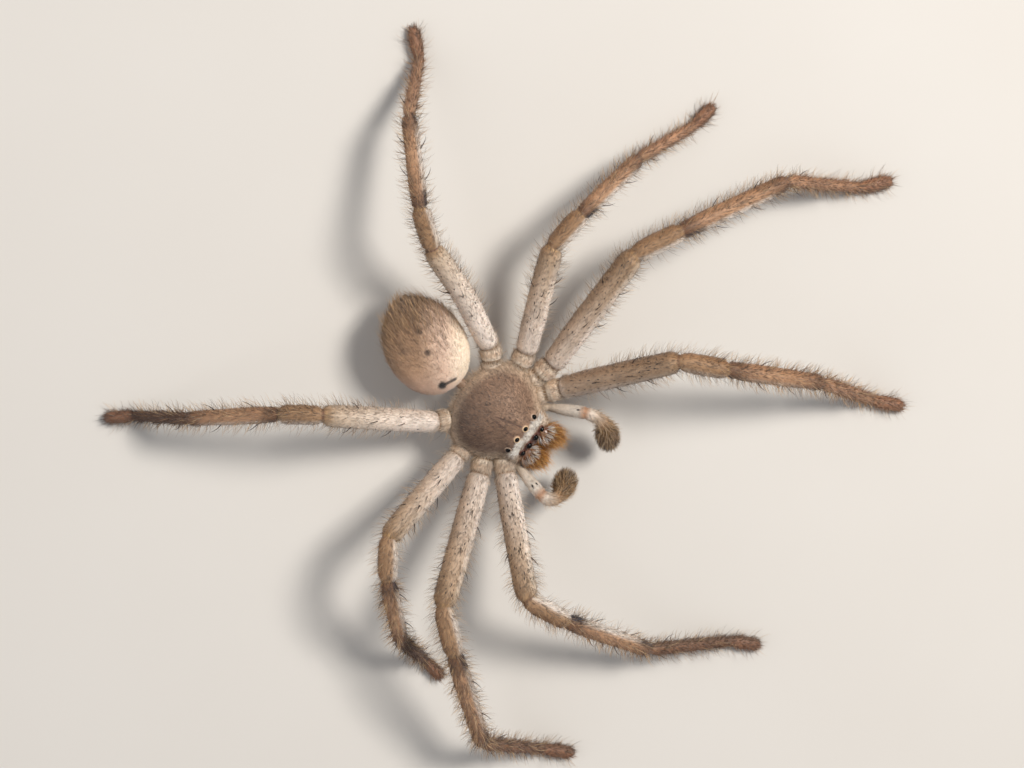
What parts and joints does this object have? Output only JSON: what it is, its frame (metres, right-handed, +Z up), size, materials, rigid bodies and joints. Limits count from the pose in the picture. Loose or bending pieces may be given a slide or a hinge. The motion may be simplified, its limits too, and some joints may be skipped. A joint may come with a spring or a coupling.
{
  "type": "huntsman spider, standing model",
  "caption": "Life-size huntsman spider standing still on flat feet, legs spread wide and crabwise, with a round shield, a bristly hind body and furred jaws.",
  "frame": {"origin": "bottom centre of the model's box, on the surface it stands on", "axes": "+Z up, the head looks towards -Y, the spider's left side is towards +X"},
  "size_m": [0.0702, 0.0686, 0.0134],
  "materials": {
    "shield": "short dense mauve-brown hair that lies flat, pale at the rim",
    "hind_body": "fawn bristly coat over soft skin, cream in front",
    "thigh": "pale fawn hair with dark dots and black spines",
    "shin": "fawn hair with longer pale fringes, white and blue-black bands underneath",
    "foot": "brown hair over dense dark pads",
    "palp_end": "olive-brown bushy hair",
    "jaw": "golden bristles and a white tuft over red-brown shell",
    "fang": "polished near-black shell",
    "eye": "wet black lens"
  },
  "bodies": {
    "root": {"leg_left_1_femur": "thigh", "leg_left_1_patella": "shin", "leg_left_1_tibia": "shin", "leg_left_1_metatarsus": "foot", "leg_left_1_tarsus": "foot", "leg_left_2_femur": "thigh", "leg_left_2_patella": "shin", "leg_left_2_tibia": "shin", "leg_left_2_metatarsus": "foot", "leg_left_2_tarsus": "foot", "leg_left_3_femur": "thigh", "leg_left_3_patella": "shin", "leg_left_3_tibia": "shin", "leg_left_3_metatarsus": "foot", "leg_left_3_tarsus": "foot", "leg_left_4_femur": "thigh", "leg_left_4_patella": "shin", "leg_left_4_tibia": "shin", "leg_left_4_metatarsus": "foot", "leg_left_4_tarsus": "foot", "leg_right_1_femur": "thigh", "leg_right_1_patella": "shin", "leg_right_1_tibia": "shin", "leg_right_1_metatarsus": "foot", "leg_right_1_tarsus": "foot", "leg_right_2_femur": "thigh", "leg_right_2_patella": "shin", "leg_right_2_tibia": "shin", "leg_right_2_metatarsus": "foot", "leg_right_2_tarsus": "foot", "leg_right_3_femur": "thigh", "leg_right_3_patella": "shin", "leg_right_3_tibia": "shin", "leg_right_3_metatarsus": "foot", "leg_right_3_tarsus": "foot", "leg_right_4_femur": "thigh", "leg_right_4_patella": "shin", "leg_right_4_tibia": "shin", "leg_right_4_metatarsus": "foot", "leg_right_4_tarsus": "foot", "palp_left_femur": "thigh", "palp_left_tibia": "shin", "palp_left_cymbium": "palp_end", "palp_right_femur": "thigh", "palp_right_tibia": "shin", "palp_right_cymbium": "palp_end", "prosoma": "shield", "eye_left_anterior_median": "eye", "eye_left_anterior_lateral": "eye", "eye_left_posterior_median": "eye", "eye_left_posterior_lateral": "eye", "eye_right_anterior_median": "eye", "eye_right_anterior_lateral": "eye", "eye_right_posterior_median": "eye", "eye_right_posterior_lateral": "eye", "chelicera_left": "jaw", "fang_left": "fang", "chelicera_right": "jaw", "fang_right": "fang", "abdomen": "hind_body"}
  },
  "joints": []
}
